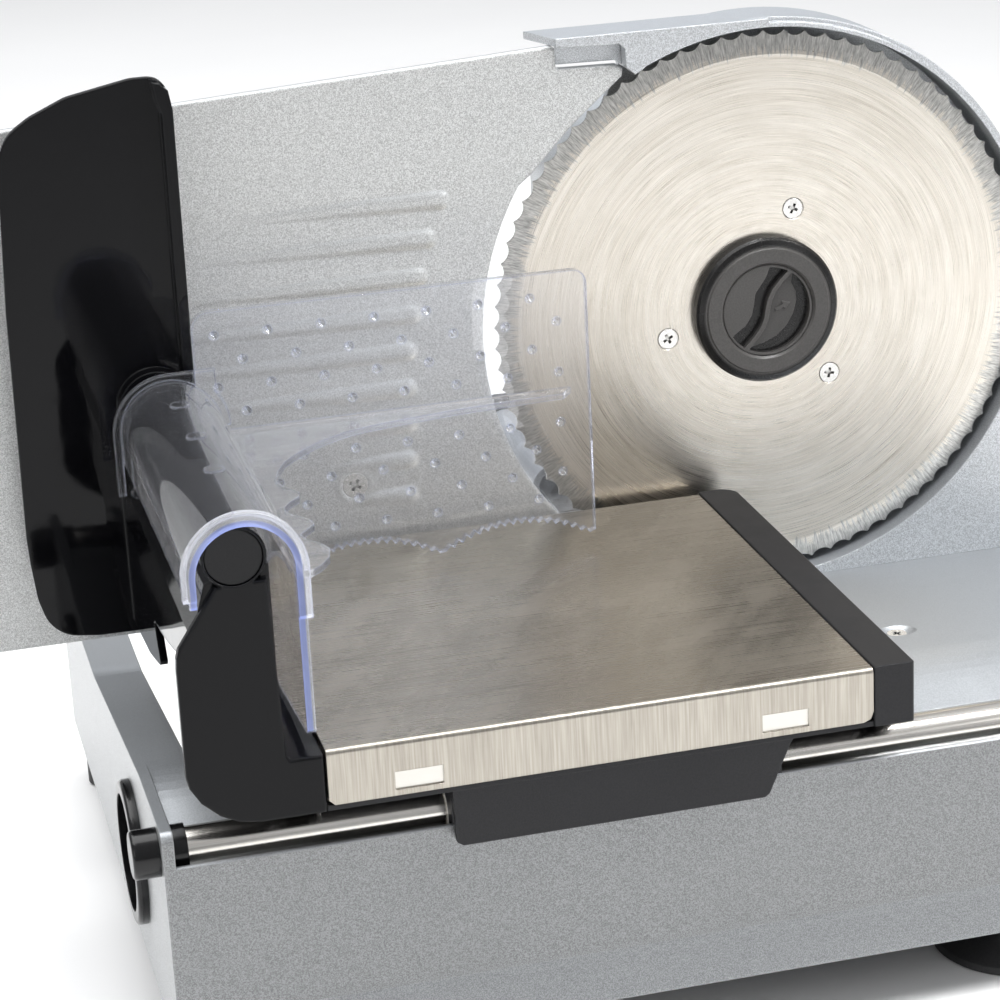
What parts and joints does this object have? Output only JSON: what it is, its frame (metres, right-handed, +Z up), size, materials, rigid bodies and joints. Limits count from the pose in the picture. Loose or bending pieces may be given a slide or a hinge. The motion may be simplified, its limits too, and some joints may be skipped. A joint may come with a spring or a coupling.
{
  "type": "deli meat slicer",
  "caption": "Electric food slicer with a scalloped round blade, sliding food carriage with black hand guard, clear food pusher, ribbed thickness plate, round rail and silver housing.",
  "frame": {"origin": "middle of the footprint's bounding box, at table level under the feet", "axes": "+X to the user's right along the carriage rail, +Y away from the user, +Z up"},
  "size_m": [0.406, 0.3144, 0.281],
  "materials": {
    "silver_paint": "satin, fine metallic speckle",
    "stainless": "brushed",
    "blade_steel": "circular brushed",
    "bright_steel": "bright",
    "gear_steel": "machined",
    "plate_aluminium": "satin cast",
    "black_gloss": "gloss",
    "dark_matte": "fine matte",
    "white_nylon": "matte",
    "clear_plastic": "clear, faint blue",
    "foot_rubber": "matte",
    "cord_pvc": "satin",
    "switch_green": "gloss",
    "brass_pin": "plated",
    "motor_steel": "plated",
    "magnet_dark": "dark"
  },
  "bodies": {
    "base": {"base_housing": "silver_paint", "base_bottom_cover": "dark_matte", "base_cover_screws": "bright_steel", "suction_feet": "foot_rubber", "foot_screws": "bright_steel", "carriage_rail": "bright_steel", "rail_cap_left": "black_gloss", "rail_cap_right": "black_gloss", "cord_port_bezel": "black_gloss", "strain_relief": "cord_pvc", "power_cord": "cord_pvc", "power_plug": "cord_pvc", "plug_pins": "brass_pin", "blade_housing": "silver_paint", "motor_cover": "silver_paint", "cover_screws": "bright_steel", "base_top_screw": "bright_steel", "blade_axle": "gear_steel", "axle_nut": "bright_steel", "idler_pin": "bright_steel", "gearbox_plate": "motor_steel", "motor_can": "motor_steel", "motor_magnets": "magnet_dark", "motor_screws": "bright_steel", "gearbox_screws": "bright_steel", "gauge_guide_rod": "bright_steel", "switch_bezel": "black_gloss", "button_bezel": "black_gloss", "button_spring": "bright_steel"},
    "carriage": {"carriage_frame": "dark_matte", "slide_bushes": "white_nylon", "rear_glide": "dark_matte", "carriage_tray": "stainless", "carriage_end_cap": "dark_matte", "hand_guard": "black_gloss", "grip_end_plug": "dark_matte", "carriage_screws": "bright_steel"},
    "pusher": {"food_pusher": "clear_plastic"},
    "blade": {"blade": "blade_steel", "blade_gear": "gear_steel", "blade_screws": "bright_steel", "blade_hub": "dark_matte"},
    "blade_lock": {"blade_lock_knob": "black_gloss"},
    "idler": {"idler_gear": "gear_steel"},
    "motor_rotor": {"motor_rotor": "gear_steel"},
    "knob": {"thickness_knob": "black_gloss", "thickness_screw": "bright_steel"},
    "gauge": {"gauge_plate": "plate_aluminium", "gauge_plate_screw": "bright_steel", "gauge_carrier": "plate_aluminium"},
    "rocker": {"power_rocker": "switch_green"},
    "button": {"safety_button": "dark_matte"}
  },
  "joints": [
    {"name": "carriage_slide", "type": "slide", "parent": "base", "child": "carriage", "axis": [1, 0, 0], "range_m": [-0.07, 0.145]},
    {"name": "pusher_slide", "type": "slide", "parent": "carriage", "child": "pusher", "axis": [0, 1, 0], "range_m": [-0.105, 0.009]},
    {"name": "blade_spin", "type": "hinge", "parent": "base", "child": "blade", "pos_m": [0.089, 0.018, 0.177], "axis": [0, 1, 0], "continuous": true},
    {"name": "blade_lock_turn", "type": "hinge", "parent": "blade", "child": "blade_lock", "pos_m": [0.089, 0.015, 0.177], "axis": [0, 1, 0], "range_deg": [0, 90]},
    {"name": "idler_spin", "type": "hinge", "parent": "base", "child": "idler", "pos_m": [0.12371, 0.038, 0.13563], "axis": [0, 1, 0], "continuous": true},
    {"name": "motor_spin", "type": "hinge", "parent": "base", "child": "motor_rotor", "pos_m": [0.13871, 0.058, 0.10965], "axis": [0, 1, 0], "continuous": true},
    {"name": "thickness_knob_turn", "type": "hinge", "parent": "base", "child": "knob", "pos_m": [0.022, 0.118, 0.1055], "axis": [0, 1, 0], "range_deg": [0, 300.2]},
    {"name": "gauge_slide", "type": "slide", "parent": "base", "child": "gauge", "axis": [0, 1, 0], "range_m": [0, 0.015]},
    {"name": "power_switch_rock", "type": "hinge", "parent": "base", "child": "rocker", "pos_m": [0.1884, 0.082, 0.141], "axis": [0, 1, 0], "range_deg": [0, 18]},
    {"name": "safety_button_press", "type": "slide", "parent": "base", "child": "button", "axis": [-1, 0, 0], "range_m": [0, 0.0025], "stiffness_N_per_m": 300}
  ],
  "couplings": [
    {"joint": "idler_spin", "follows": "blade_spin", "ratio": -5},
    {"joint": "motor_spin", "follows": "blade_spin", "ratio": 20},
    {"joint": "thickness_knob_turn", "follows": "gauge_slide", "rad_per_m": 349.07}
  ]
}
